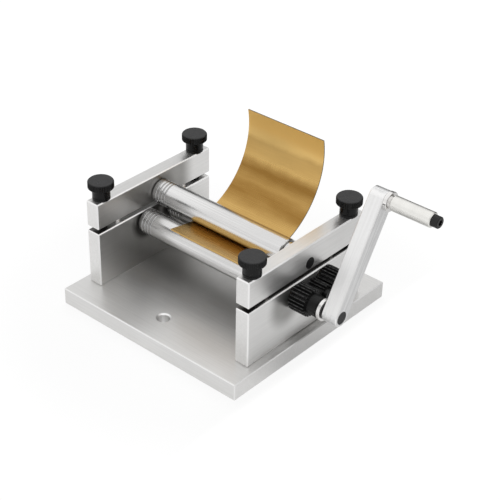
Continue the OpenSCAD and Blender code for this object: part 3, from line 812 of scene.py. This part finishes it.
arm_metal = Finish("crank_aluminium", {"Metallic": arm_shine})
along_arm = arm_metal.place.node("ShaderNodeMapping", {},
                                 {"Vector": arm_metal.place, "Rotation": (arm_lean, 0, 0)})
mill_lines = along_arm.patches(arm_lines)
mill_bands = along_arm.patches(arm_bands)
knocks = arm_metal.place.patches(arm_knocks, detail=4)
arm_tone = mill_bands * arm_band_share + mill_lines * arm_line_share
arm_tone = (arm_tone + knocks * (1 - arm_band_share - arm_line_share)).between(arm_low, arm_high)
arm_metal.feed("Base Color", arm_metal.bevels().blend(arm_tone.blend(arm_dark, arm_bright), bevel_highlight))
arm_metal.feed("Roughness", arm_roughness + mill_bands.swing(arm_dull))
arm_metal.relief(mill_lines + mill_bands, arm_depth)
arm_metal.put_on("crank_arm")

collar_metal = Finish("collar_steel", {"Metallic": 1})
rings = collar_metal.place.patches(ring_patch)
on_rim = collar_metal.place.axis("X").above(box_of("crank_collar")[1].x - collar_rim)
collar_tone = on_rim * (rim_least + rings * rim_swing)
collar_metal.feed("Base Color", collar_tone.blend(collar_dark, collar_bright))
collar_metal.feed("Roughness", collar_roughness + rings.swing(rim_dull))
collar_metal.relief(rings, rim_depth)
collar_metal.put_on("crank_collar")
# The washer's black is painted shade for the gap between collar and arm.
black.put_on("crank_washer", "crank_screw", "crank_grub")


# Handle
# A plain turned aluminium sleeve runs on a blackened cap screw in the arm's end, against a bright
# flanged washer.
sleeve_bright = (0.84, 0.83, 0.80, 1)
sleeve_dark = (0.78, 0.77, 0.74, 1)
sleeve_roughness = 0.36
sleeve_rings = 0.000003

sleeve_metal = turned("sleeve_aluminium", sleeve_bright, sleeve_dark, sleeve_roughness, sleeve_rings)
sleeve_metal.put_on("handle_sleeve")
pin_metal.put_on("handle_washer")
black.put_on("handle_screw")


# Sheet
# A strip of rolled brass sheet is in the rollers, already bent to a curve behind them. It has the
# mill's fine lines, bands of painted reflection across it, dark sheared edges and a matt free end.
brass_dark = (0.30, 0.158, 0.037, 1)
brass_bright = (0.98, 0.67, 0.25, 1)
brass_matt = (1.0, 0.61, 0.165, 1)
brass_edge = (0.16, 0.11, 0.05, 1)
brass_roughness = 0.26
# The bend's centre, the angle that its tones run over, and the angle where the sheared end starts.
bend_centre = Vector((0, 0.001, 0.136916))
bend_angle = 1.80
edge_angle = 1.7810
# Bands of painted reflection: places from the bend's lowest point to the free end, and how bright they are.
reflection_bands = ((0.00, 0.42), (0.26, 0.36), (0.34, 0.09), (0.38, 0.03), (0.42, 0.08), (0.48, 0.22),
              (0.53, 0.10), (0.57, 0.00), (0.61, 0.18), (0.65, 0.45), (0.77, 0.47), (0.81, 0.85),
              (0.85, 1.00), (1.00, 1.00))
mill_patch = (0.03, 0.0006, 0.0006)
mill_tone = 0.14
mill_dull = 0.12
mill_depth = 0.000001
tint_patch = (0.05, 0.012, 0.012)
tint_tone = 0.30
spot_patch = (0.010, 0.010, 0.010)
spot_sway = 0.03
# Where along the bend the brass grows duller and then matt, and how much.
dull_start = 0.62
dull_end = 0.78
dulled = 0.14
matt_start = 0.80
matt_end = 0.90
matt_share = 0.9
matt_least = 0.75
matt_swing = 0.25

sheet_metal = Finish("brass", {})
from_bend = sheet_metal.place.from_point(bend_centre)
bent = from_bend.axis("Y").angle(0 - from_bend.axis("Z"))
mill = sheet_metal.place.patches(mill_patch)
tint = sheet_metal.place.patches(tint_patch)
spots = sheet_metal.place.patches(spot_patch, detail=4)
swayed = bent / bend_angle + spots.swing(spot_sway)
matt = swayed.between(matt_start, matt_end)
brass_tone = swayed.ramp(reflection_bands) + mill.swing(mill_tone) + tint.swing(tint_tone)
brass_with_reflections = brass_tone.blend(brass_dark, brass_bright)
worked_brass = (matt * (matt_least + (mill + tint) * matt_swing)).blend(brass_with_reflections, brass_matt)
sheared = abs(sheet_metal.outward.axis("X")).above(mostly).larger(bent.above(edge_angle))
sheet_metal.feed("Base Color", sheared.blend(worked_brass, brass_edge))
sheet_metal.feed("Metallic", 1 - matt * matt_share)
dull_band = swayed.between(dull_start, dull_end) * dulled
sheet_metal.feed("Roughness", brass_roughness + dull_band + mill.swing(mill_dull))
sheet_metal.relief(mill, mill_depth)
sheet_metal.put_on("brass_sheet")
